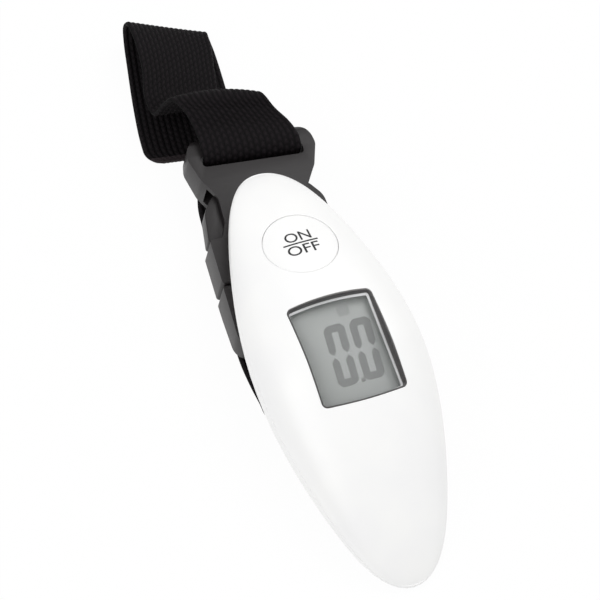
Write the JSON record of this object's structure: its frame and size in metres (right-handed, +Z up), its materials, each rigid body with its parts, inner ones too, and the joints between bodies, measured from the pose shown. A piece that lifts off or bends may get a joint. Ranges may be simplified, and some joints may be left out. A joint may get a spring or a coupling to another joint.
{
  "type": "digital luggage scale",
  "caption": "Hand-held digital luggage scale: leaf-shaped white case with display and power button, side-release buckle and webbing strap that loops round a bag handle.",
  "frame": {"origin": "bottom centre of the bounding box, on the table that the scale lies on", "axes": "+Y along the table from the case's tip to the strap's fold, +Z up out of the display's side, +X to the right when the display is read"},
  "size_m": [0.0428, 0.1664, 0.0308],
  "materials": {
    "white_abs": "satin moulded ABS",
    "clear_acrylic": "clear polished",
    "grey_bezel": "satin moulded",
    "lcd_glass": "satin grey polariser",
    "natural_abs": "moulded",
    "elastomer": "matte",
    "green_board": "solder mask",
    "black_epoxy": "matte",
    "red_nylon": "moulded",
    "aluminium": "milled",
    "zinc_steel": "zinc plated",
    "gauge_foil": "polyimide foil",
    "red_lead": "insulated wire",
    "spring_bronze": "bright strip",
    "grey_acetal": "fine moulded grain",
    "black_webbing": "woven ribbed webbing"
  },
  "bodies": {
    "housing": {"front_shell": "white_abs", "back_shell": "white_abs", "display_lens": "clear_acrylic", "display_bezel": "grey_bezel", "lcd_panel": "lcd_glass", "lcd_holder": "natural_abs", "zebra_connector": "elastomer", "circuit_board": "green_board", "controller_chip": "black_epoxy", "tact_switch": "black_epoxy", "load_cell": "aluminium", "strain_gauge_upper": "gauge_foil", "strain_gauge_lower": "gauge_foil", "load_cell_screw_1": "zinc_steel", "load_cell_screw_2": "zinc_steel", "gauge_lead": "red_lead", "strap_yoke": "zinc_steel", "anchor_pin": "zinc_steel", "coin_cell": "zinc_steel", "battery_contact_negative": "spring_bronze", "battery_contact_positive": "spring_bronze", "case_screw_1": "zinc_steel", "case_screw_2": "zinc_steel", "case_screw_3": "zinc_steel", "case_screw_4": "zinc_steel", "buckle_plug": "grey_acetal", "anchor_strap": "black_webbing", "load_strap": "black_webbing"},
    "button": {"on_off_button": "white_abs"},
    "plunger": {"switch_plunger": "red_nylon"},
    "socket": {"buckle_socket": "grey_acetal", "strap_tail": "black_webbing"},
    "arm_left": {"latch_arm_left": "grey_acetal"},
    "arm_right": {"latch_arm_right": "grey_acetal"},
    "cover": {"battery_cover": "white_abs"}
  },
  "joints": [
    {"name": "button_press", "type": "slide", "parent": "housing", "child": "button", "axis": [0, -0.1461, -0.9893], "range_m": [0, 0.0005], "stiffness_N_per_m": 400},
    {"name": "plunger_press", "type": "slide", "parent": "housing", "child": "plunger", "axis": [0, 0.165, -0.9863], "range_m": [0, 0.0005]},
    {"name": "latch_left_squeeze", "type": "hinge", "parent": "housing", "child": "arm_left", "pos_m": [-0.01256, 0.00397, 0.00683], "axis": [0.0079, 0.0605, -0.9981], "range_deg": [0, 14.5], "stiffness_Nm_per_rad": 0.5},
    {"name": "latch_right_squeeze", "type": "hinge", "parent": "housing", "child": "arm_right", "pos_m": [0.01094, 0.0009, 0.00683], "axis": [-0.0079, -0.0605, 0.9981], "range_deg": [0, 14.5], "stiffness_Nm_per_rad": 0.5},
    {"name": "buckle_release", "type": "slide", "parent": "housing", "child": "socket", "axis": [0.1294, 0.9897, 0.061], "range_m": [0, 0.028], "deforming": ["load_strap", "latch_arm_left", "latch_arm_right"]},
    {"name": "battery_cover_turn", "type": "hinge", "parent": "housing", "child": "cover", "pos_m": [0, -0.05249, 0.0037], "axis": [0, -0.165, 0.9863], "range_deg": [0, 45]}
  ],
  "couplings": [
    {"joint": "plunger_press", "follows": "button_press", "ratio": 0.9516}
  ]
}
